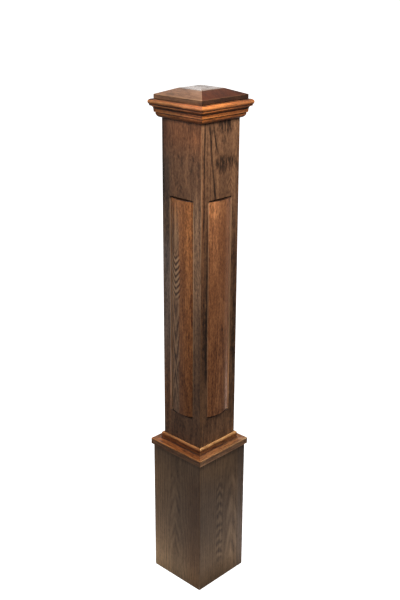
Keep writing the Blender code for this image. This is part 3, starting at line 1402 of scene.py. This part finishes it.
    def build(
        self, boards: Mapping[Side, Figure], bands: Mapping[Side, Figure], mouldings: Mapping[Side, Figure]
    ) -> list[bpy.types.Object]:
        """Builds and dresses the base.

        Args:
            boards: each board's figure.
            bands: each band's figure.
            mouldings: each moulding's figure.

        Returns:
            The pieces.
        """
        along = Grain.ALONG_THE_SIDE
        board = PieceKind(
            "base_stave", "base_board", "base", "base_oak", self.board_mesh(),
            OakFinish(BASE_WALNUT), boards, self.board_wear, self.board_tint,
        )
        band = PieceKind(
            "base_strip", "base_band", "base_band", "base_band_oak", self.band_mesh(),
            OakFinish(BAND_WALNUT, along), bands, self.band_wear,
        )
        moulding = PieceKind(
            "base_ledge", "base_moulding", "base_moulding", "base_moulding_oak", self.moulding_mesh(),
            OakFinish(MOULDING_RUSSET, along), mouldings, self.moulding_wear_and_highlight, self.moulding_tint,
        )
        return self.all_round(board, band, moulding)


# Stains

# Painted shade in recesses, grooves and under parts, and dark stain in joints and grain.
SHADE_AND_STAIN_DARK = (0.022, 0.012, 0.008)
# Painted light laid on the recess walls, which their narrow gap leaves dim.
PAINTED_LIGHT_WALL = (0.72, 0.46, 0.29)
SLOPE_GAIN = (1.58, 1.54, 1.44)
THIRSTY_GAIN = (0.27, 0.09, 0.0)
END_GRAIN_GAIN = (0.25, 0.185, 0.14)
FLAT_GAIN = (0.92, 1.00, 1.00)
WALNUT = Stain(
    (0.36, 0.180, 0.090), (0.200, 0.096, 0.049), (0.034, 0.018, 0.011), (0.60, 0.34, 0.18), fleck=1.05
)
CAP_WALNUT = Stain(
    (0.24, 0.125, 0.068), (0.15, 0.072, 0.038), (0.04, 0.022, 0.014), (0.42, 0.24, 0.13), 0.40, 0.1
)
BASE_WALNUT = Stain(
    (0.37, 0.227, 0.130), (0.234, 0.137, 0.078), (0.066, 0.039, 0.025), (0.50, 0.33, 0.20),
    contrast=0.72, fleck=0.5,
)
BAND_WALNUT = Stain((0.26, 0.160, 0.090), (0.160, 0.095, 0.055), (0.045, 0.027, 0.018), (0.45, 0.29, 0.17))
PANEL_RUSSET = Stain(
    (0.66, 0.275, 0.105), (0.40, 0.145, 0.053), (0.080, 0.030, 0.014), (0.62, 0.38, 0.22),
    0.38, 0.3, 1.15, 0.9,
)
CROWN_RUSSET = Stain(
    (0.62, 0.215, 0.060), (0.42, 0.135, 0.038), (0.090, 0.028, 0.012), (0.75, 0.34, 0.12), 0.42, 0.15, 1.2
)
MOULDING_RUSSET = Stain(
    (0.55, 0.225, 0.075), (0.38, 0.140, 0.046), (0.090, 0.034, 0.015), (0.98, 0.50, 0.19), 0.42, 0.15, 1.3
)


# Figures


def above(start: float, full: float) -> Span:
    """A span that begins softly and has no end."""
    return start, full, FAR, FAR + 1.0


def below(full: float, end: float) -> Span:
    """A span that has no start and ends softly."""
    return -FAR - 1.0, -FAR, full, end


def moulding_figures(
    seed: float, step: float, heart: float, level: float, shades: Mapping[Side, tuple[Shade, ...]]
) -> dict[Side, Figure]:
    """The figures of the four lengths of one moulding.

    Args:
        seed: the front length's seed.
        step: how much the seed grows from one side to the next.
        heart: where the heart of the log lies across the fibres.
        level: how dark the wood is as a whole.
        shades: each length's shades.

    Returns:
        The figure of each side.
    """
    return {
        side: Figure(seed + step * side.value, heart, 0.14, level=level, rings=0.15, shades=shades[side])
        for side in Side
    }


LEFT_STILE = below(-0.040, -0.034)
RIGHT_STILE = (0.030, 0.036, 0.060, 0.062)
SHAFT_BOARDS = {
    Side.FRONT: Figure(
        1.3, -0.012, 0.10, 0.02, 0.0075, rings=0.12, blotch=0.35,
        features=(
            Flame(-0.004, 1.069, 0.012, 0.014, 0.5),
            Flame(0.038, 1.080, 0.022, 0.010, 0.3),
            Streak(-0.0580, 1.17, 0.95, 0.006, 0.3, fade=0.02),
            Arches(-0.004, 0.990, 1.035, 0.013, 0.013, 1.4, 0.16),
        ),
        shades=(
            Shade((0.60, 0.56, 0.60), below(-0.048, -0.030), above(0.92, 1.0)),
            Shade((1.15, 0.95, 0.82), along=above(1.06, 1.13)),
            Shade((1.25, 1.20, 1.15), above(-0.036, -0.020), above(0.95, 1.0)),
            # Painted sheen: the far stile greyed and blued at mid height, held back at its top.
            Shade((1.08, 1.60, 2.55), LEFT_STILE, (0.50, 0.70, 0.82, 0.92)),
            Shade((0.76, 0.92, 1.08), LEFT_STILE, (0.80, 0.92, 1.04, 1.10)),
            Shade((1.35, 1.33, 1.30), above(0.015, 0.035), (1.060, 1.085, 1.120, 1.145)),
            Shade((1.20, 1.10, 1.0), LEFT_STILE, (0.40, 0.45, 0.70, 0.90)),
            # Painted sheen: the near stile lightened and greyed.
            Shade((1.55, 1.70, 1.85), RIGHT_STILE, (0.52, 0.80, 0.96, 1.03)),
            Shade((1.42, 1.42, 1.40), RIGHT_STILE, (0.70, 0.80, 0.92, 0.97)),
            # Painted highlight on the recess's far lip, low down.
            Shade((1.9, 2.0, 2.3), (-0.0400, -0.0386, -0.0358, -0.0350), (0.452, 0.462, 0.560, 0.640)),
        ),
    ),
    Side.RIGHT: Figure(
        2.7, 0.02, 0.07, 0.02, 0.006, level=0.38, rings=0.16,
        features=(
            Streak(-0.0365, 1.17, 0.96, 0.0038, 0.85, 0.075, 0.22),
            Streak(-0.0240, 1.17, 1.070, 0.0038, 0.8, 0.016, 2.2),
            Streak(-0.0490, 1.17, 0.90, 0.0036, 0.8, -0.01),
            Streak(-0.0405, 0.97, 0.51, 0.0060, 0.55, fade=0.07),
            Streak(-0.0480, 0.81, 0.53, 0.0095, 0.42, fade=0.05),
            Flame(0.019, 1.062, 0.044, 0.028, 0.85),
            Flame(0.015, 1.142, 0.026, 0.024, 0.95),
            Arches(0.032, 0.985, 1.045, 0.014, 0.014, 1.6, 0.22),
            Streak(0.0520, 0.90, 0.50, 0.009, 0.45, fade=0.09),
        ),
        shades=(
            # Painted light: the board lighter toward its top.
            Shade((1.35, 1.36, 1.38), along=above(0.86, 1.02)),
            # Painted highlight: the zone by the near arris lightened.
            Shade((1.15, 1.12, 1.10), below(-0.054, -0.046), above(0.74, 0.90)),
            Shade((1.25, 1.18, 1.14), below(-0.048, -0.042), (0.66, 0.76, 0.96, 1.06)),
            Shade((1.40, 1.45, 1.50), along=below(0.41, 0.46)),
            Shade((1.70, 1.80, 1.75), (0.040, 0.046, 0.056, 0.062), (0.510, 0.540, 0.580, 0.610), 0.003),
            Shade((1.35, 1.35, 1.30), below(-0.046, -0.040), (0.430, 0.460, 0.500, 0.540)),
            # Painted highlight on the recess's far lip, low down.
            Shade((1.9, 1.8, 1.7), (0.0350, 0.0358, 0.0386, 0.0400), (0.452, 0.462, 0.580, 0.660)),
        ),
    ),
    Side.BACK: Figure(
        3.9, 0.01, 0.06, 0.035, 0.006, blotch=0.5,
        features=(
            Streak(0.030, 1.17, 0.99, 0.004, 0.6, -0.06, -0.2),
            Arches(-0.006, 1.01, 1.15, 0.030, 0.030, -2.2, 0.22),
            Streak(0.047, 0.95, 0.47, 0.006, 0.5, fade=0.08),
        ),
        shades=(Shade((1.25, 1.2, 1.15), below(0.01, 0.04), above(0.9, 1.05)),),
    ),
    Side.LEFT: Figure(
        5.1, -0.02, 0.05, 0.03, 0.0065, blotch=0.5,
        features=(
            Flame(-0.012, 1.105, 0.020, 0.022, 0.6),
            Arches(0.018, 1.0, 1.16, 0.024, 0.022, 2.4, 0.2),
            Streak(-0.046, 0.93, 0.50, 0.006, 0.45, fade=0.08),
        ),
        shades=(Shade((1.2, 1.2, 1.2), above(0.0, 0.03), above(0.9, 1.05)),),
    ),
}
PANELS = {
    Side.FRONT: Figure(
        11.2, -0.02, 0.16, 0.01, rings=0.12, blotch=0.35,
        features=(
            Arches(-0.0172, 0.735, 0.868, 0.020, 0.0145, -5.2, 0.60, 1.4, wander=0.3),
            Arches(-0.0172, 0.560, 0.750, 0.018, 0.058, -24.0, 0.34, 1.4, wander=0.5),
            Arches(-0.0200, 0.470, 0.610, 0.015, 0.050, 4.5, 0.36, wander=0.3),
            Streak(-0.0165, 0.985, 0.855, 0.0042, -0.45, fade=0.02),
            Streak(-0.0280, 0.985, 0.800, 0.0060, 0.50, fade=0.02),
        ),
        shades=(
            # Painted sheen: the far part of the bow greyed and blued.
            Shade((1.0, 1.42, 2.1), (-0.05, -0.04, -0.008, -0.001), below(0.88, 0.99), 0.006),
            # Painted light: the panel lighter toward its top and darker low down.
            Shade((1.22, 1.20, 1.12), along=above(0.76, 0.90)),
            Shade((0.74, 0.74, 0.76), along=below(0.47, 0.66)),
            Shade((1.28, 1.28, 1.26), (-0.05, -0.04, -0.026, -0.014), (0.48, 0.54, 0.70, 0.80), 0.006),
            Shade((1.22, 1.25, 1.28), above(0.010, 0.022), (0.45, 0.58, 0.96, 1.02)),
        ),
    ),
    Side.RIGHT: Figure(
        12.6, 0.005, 0.12, 0.012, 0.006, level=0.38, rings=0.1,
        features=(
            Arches(0.006, 0.42, 0.76, 0.024, 0.16, 900.0, 0.16, 2.0),
            Arches(-0.0245, 0.92, 0.985, 0.010, 0.034, -3.0, 0.10),
        ),
        shades=(
            Shade((1.42, 1.45, 1.46), below(-0.016, 0.004), above(0.74, 0.98)),
            Shade((1.02, 1.06, 1.20)),
            # Painted sheen: the far part of the bow lightened and greyed, most strongly low down.
            Shade((1.12, 1.22, 1.45), above(0.012, 0.024)),
            Shade((2.6, 3.7, 5.2), above(0.021, 0.031), below(0.50, 0.66), 0.004),
            Shade((1.42, 1.46, 1.40), (-0.05, -0.04, -0.020, -0.008), above(0.930, 0.960), 0.006),
        ),
    ),
    Side.BACK: Figure(13.4, 0.0, 0.09, rings=0.16),
    Side.LEFT: Figure(14.8, 0.015, 0.12, ring=0.006, rings=0.16),
}
# Painted light: the right length lighter than the front, and both lighter toward the corner where they meet.
CROWNS = moulding_figures(
    21.0, 1.37, 1.1, 0.42,
    {
        Side.FRONT: (Shade((0.95, 0.98, 1.0)), Shade((1.55, 1.42, 1.60), along=above(-0.015, 0.045))),
        Side.RIGHT: (Shade((1.6, 1.5, 1.3)), Shade((0.64, 0.66, 0.80), along=above(-0.045, 0.055))),
        Side.BACK: (Shade((1.2, 1.2, 1.1)), Shade((0.9, 0.9, 0.9), along=below(-0.02, 0.04))),
        Side.LEFT: (Shade((1.2, 1.2, 1.1)), Shade((0.9, 0.9, 0.9), along=above(0.0, 0.05))),
    },
)
# Painted light: the right band much lighter than the front; BAND_END is a painted highlight at one end.
BAND_END = Shade((1.5, 1.5, 1.4), along=below(-0.072, -0.050))
BANDS = moulding_figures(
    31.0, 1.71, 0.3, 0.45,
    {
        Side.FRONT: (Shade((1.5, 1.18, 0.98)), BAND_END),
        Side.RIGHT: (Shade((2.9, 2.5, 2.3)), BAND_END),
        Side.BACK: (Shade((1.3, 1.2, 1.1)), BAND_END),
        Side.LEFT: (Shade((1.3, 1.2, 1.1)), BAND_END),
    },
)
# Painted light: the right moulding lighter and bluer than the front; RIDGE and end gains set painted
# highlights.
RIDGE = above(0.377, 0.380)
NEAR_END = below(-0.068, -0.048)
FAR_END = above(0.060, 0.074)
MOULDINGS = moulding_figures(
    41.0, 1.53, 0.3, 0.45,
    {
        Side.FRONT: (
            Shade((1.08, 0.92, 0.76)),
            Shade((0.73, 0.70, 0.74), RIDGE),
            Shade((1.5, 1.55, 1.6), along=NEAR_END),
        ),
        Side.RIGHT: (
            Shade((1.55, 1.70, 1.95)),
            Shade((0.95, 0.90, 0.80), RIDGE),
            Shade((1.25, 1.55, 1.9), along=FAR_END),
        ),
        Side.BACK: (
            Shade((1.2, 1.2, 1.1)),
            Shade((0.7, 0.7, 0.8), RIDGE),
            Shade((1.2, 1.2, 1.2), along=NEAR_END),
        ),
        Side.LEFT: (
            Shade((1.2, 1.2, 1.1)),
            Shade((0.7, 0.7, 0.8), RIDGE),
            Shade((1.2, 1.2, 1.2), along=FAR_END),
        ),
    },
)
CAP_FIGURE = Figure(51.3, 0.03, -1.16, 0.01)
# Painted light: every base board lighter toward its foot, standing in for the pale floor's light and
# reflection.
PALER_FOOT = Shade((1.75, 1.78, 1.75), along=below(0.0, 0.22))
BASE_BOARDS = {
    Side.FRONT: Figure(
        61.2, -0.004, blotch=0.35,
        features=(Arches(-0.0055, 0.06, 0.31, 0.022, 0.045, 2.6, 0.13),),
        shades=(
            PALER_FOOT,
            # Painted light: the foot lightened further.
            Shade((1.25, 1.32, 1.38), along=below(0.0, 0.09)),
            Shade((1.65, 1.65, 1.58), below(-0.085, 0.020), below(0.27, 0.36)),
            Shade((0.78, 0.68, 0.60), above(0.010, 0.060), below(0.27, 0.36)),
            # Painted light: the foot lightened further.
            Shade((1.20, 1.22, 1.24), along=below(0.02, 0.11)),
        ),
    ),
    Side.RIGHT: Figure(
        62.8, 0.03, 0.045, 0.03, 0.0055, rings=0.22, blotch=0.35,
        features=(
            Arches(-0.009, 0.03, 0.310, 0.014, 0.0265, 0.7, 0.29, fade=0.05, wander=1.3),
            Arches(0.034, 0.03, 0.32, 0.024, 0.075, 2.6, 0.16),
        ),
        shades=(
            PALER_FOOT,
            Shade((1.42, 1.45, 1.50), above(0.0, 0.040), below(0.24, 0.34)),
            Shade((1.30, 1.28, 1.22), below(0.0, 0.05), above(0.27, 0.33)),
            # Painted sheen: the far side greyed toward blue.
            Shade((0.86, 0.95, 1.18), above(0.045, 0.070)),
        ),
    ),
    Side.BACK: Figure(63.5, 0.0, 0.04, 0.04, 0.0055, rings=0.24, blotch=0.35, shades=(PALER_FOOT,)),
    Side.LEFT: Figure(64.9, 0.02, heart_slope=0.03, rings=0.24, blotch=0.35, shades=(PALER_FOOT,)),
}


# Studio


@dataclass(frozen=True)
class SoftBox:
    """A flat soft light."""

    name: str
    place: tuple[float, float, float]
    aim: tuple[float, float, float]
    width: float
    height: float
    power: float
    colour: Colour = (1.0, 1.0, 1.0)

    def light(self) -> bpy.types.Object:
        """Hangs the light in the scene."""
        lamp = bpy.data.lights.new(self.name, "AREA")
        lamp.shape = "RECTANGLE"
        lamp.size = self.width
        lamp.size_y = self.height
        lamp.energy = self.power
        lamp.color = self.colour
        hung = placed(self.name, lamp)
        hung.location = self.place
        toward = Vector(self.aim) - Vector(self.place)
        hung.rotation_euler = toward.to_track_quat("-Z", "Y").to_euler()
        hung.visible_camera = False
        return hung


@dataclass(frozen=True)
class Glow:
    """A soft bright patch of the surroundings, far from the post."""

    azimuth: float
    elevation: float
    spread: float
    strength: float

    def field(self, graph: Graph, direction: Socket) -> Value:
        """Brightness that the patch adds.

        Args:
            graph: the world's graph.
            direction: the direction looked in.

        Returns:
            The brightness.
        """
        turn, lift = math.radians(self.azimuth), math.radians(self.elevation)
        middle = (math.cos(lift) * math.cos(turn), math.cos(lift) * math.sin(turn), math.sin(lift))
        cosine = Value(graph, graph.vector_math("DOT_PRODUCT", direction, middle).outputs["Value"])
        return cosine.rising(math.cos(math.radians(self.spread)), 1.0) * self.strength


@dataclass(frozen=True)
class ViewPoint:
    """The camera that the photograph was taken with, as fitted to the post's edges."""

    reach: float = 2.03491
    height: float = 1.49221
    azimuth: float = 43.92538
    turn: float = 0.00106
    pitch: float = 20.49026
    roll: float = 0.28511
    focal_share: float = 931.433 / 600.0
    sensor: float = 36.0
    far_clip: float = 200.0

    def camera(self) -> bpy.types.Object:
        """Sets up the camera."""
        lens = bpy.data.cameras.new("photo_view")
        lens.sensor_fit = "VERTICAL"
        lens.sensor_height = self.sensor
        lens.lens = self.focal_share * self.sensor
        lens.clip_end = self.far_clip
        camera = placed("photo_view", lens)
        azimuth = math.radians(self.azimuth)
        eye = (self.reach * math.sin(azimuth), -self.reach * math.cos(azimuth), self.height)
        heading = Matrix.Rotation(azimuth + math.radians(self.turn), 4, "Z")
        tilt = Matrix.Rotation(math.radians(90.0 - self.pitch), 4, "X")
        roll = Matrix.Rotation(math.radians(self.roll), 4, "Z")
        camera.matrix_world = Matrix.Translation(eye) @ heading @ tilt @ roll
        return camera


@dataclass(frozen=True)
class Studio:
    """A white sweep, soft boxes and dim surroundings."""

    boxes: tuple[SoftBox, ...]
    glows: tuple[Glow, ...]
    upper: float = 0.35
    lower: float = 0.25
    sweep_radius: float = 30.0
    sweep_height: float = 25.0
    sweep_bend: float = 8.0
    sweep_glow: float = 1.1

    def sweep(self) -> bpy.types.Object:
        """A floor that curves up into a far wall all round; it is seen but lights nothing."""
        shape = bmesh.new()
        bend = self.sweep_bend
        floor = self.sweep_radius - bend
        rings = arc((floor, bend), bend, bend, 270, 360, SWEEP_BEND_STEPS)
        rings.append((self.sweep_radius, self.sweep_height))
        loops = []
        for radius, up in rings:
            circle = arc((0.0, 0.0), radius, radius, 0, 360, SWEEP_SIDES)[:-1]
            loops.append([shape.verts.new((x, y, up)) for x, y in circle])
        shape.faces.new(loops[0])
        skin(shape, loops, closed=True)
        bmesh.ops.recalc_face_normals(shape, faces=shape.faces)
        mesh = bpy.data.meshes.new("studio_sweep")
        shape.to_mesh(mesh)
        shape.free()
        material = bpy.data.materials.new("white_sweep")
        material.use_nodes = True
        shader = material.node_tree.nodes["Principled BSDF"]
        shader.inputs["Base Color"].default_value = (0.9, 0.9, 0.9, 1.0)
        shader.inputs["Roughness"].default_value = 0.9
        shader.inputs["Emission Color"].default_value = WHITE
        shader.inputs["Emission Strength"].default_value = self.sweep_glow
        mesh.materials.append(material)
        sweep = placed("studio_sweep", mesh)
        sweep.visible_diffuse = False
        sweep.visible_glossy = False
        sweep.visible_shadow = False
        return sweep

    def surroundings(self) -> None:
        """Dim, even light from all round with the glows on it."""
        world = bpy.data.worlds.new("studio_air")
        bpy.context.scene.world = world
        world.use_nodes = True
        graph = Graph(world.node_tree)
        direction = graph.node("ShaderNodeTexCoord").outputs["Generated"]
        lift = Value(graph, graph.node("ShaderNodeSeparateXYZ", inputs={0: direction}).outputs[2])
        strength = lift.rising(-0.12, 0.12) * (self.upper - self.lower) + self.lower
        for glow in self.glows:
            strength = strength + glow.field(graph, direction)
        air = {"Color": WHITE, "Strength": strength}
        sky = graph.node("ShaderNodeBackground", inputs=air)
        graph.node("ShaderNodeOutputWorld", inputs={0: sky.outputs[0]})

    def build(self) -> None:
        """Sets up the floor, the lights, the surroundings and how colours are shown."""
        self.sweep()
        for box in self.boxes:
            box.light()
        self.surroundings()
        bpy.context.scene.view_settings.view_transform = "Standard"
        bpy.context.scene.view_settings.look = "None"
        bpy.context.scene.camera = ViewPoint().camera()


STUDIO = Studio(
    boxes=(
        SoftBox("key_right", (0.55, -0.1, 1.75), (0.06, 0.0, 1.15), 0.35, 0.35, 7.0, (1.0, 0.96, 0.90)),
        SoftBox("key_left", (-0.1, -0.6, 1.75), (0.0, -0.06, 1.15), 0.35, 0.35, 4.0),
        SoftBox("floor_left", (-0.05, -0.30, 0.003), (-0.05, -0.30, 1.0), 0.5, 0.36, 0.13),
        SoftBox("floor_right", (0.30, 0.05, 0.003), (0.30, 0.05, 1.0), 0.36, 0.5, 0.18),
        SoftBox("high_back", (-1.4, 0.9, 2.3), (0.0, 0.0, 1.2), 0.8, 0.8, 0.6),
    ),
    glows=(
        Glow(134.0, -25.0, 55.0, 0.54),
        Glow(134.0, 8.0, 16.0, 1.15),
        Glow(226.0, -10.0, 30.0, 0.30),
        Glow(46.0, -38.0, 30.0, 0.07),
        Glow(175.0, -15.0, 30.0, 0.07),
    ),
    upper=0.20,
    lower=0.02,
)


def main() -> None:
    """Builds the studio and the post, piece by piece."""
    logging.basicConfig(level=logging.INFO, format="%(name)s: %(message)s")
    STUDIO.build()
    pieces = Base().build(BASE_BOARDS, BANDS, MOULDINGS)
    pieces += Shaft().build(SHAFT_BOARDS, PANELS)
    pieces += Crown().build(CROWNS)
    pieces += Cap().build(CAP_FIGURE)
    bpy.context.view_layer.update()


if __name__ == "__main__":
    main()
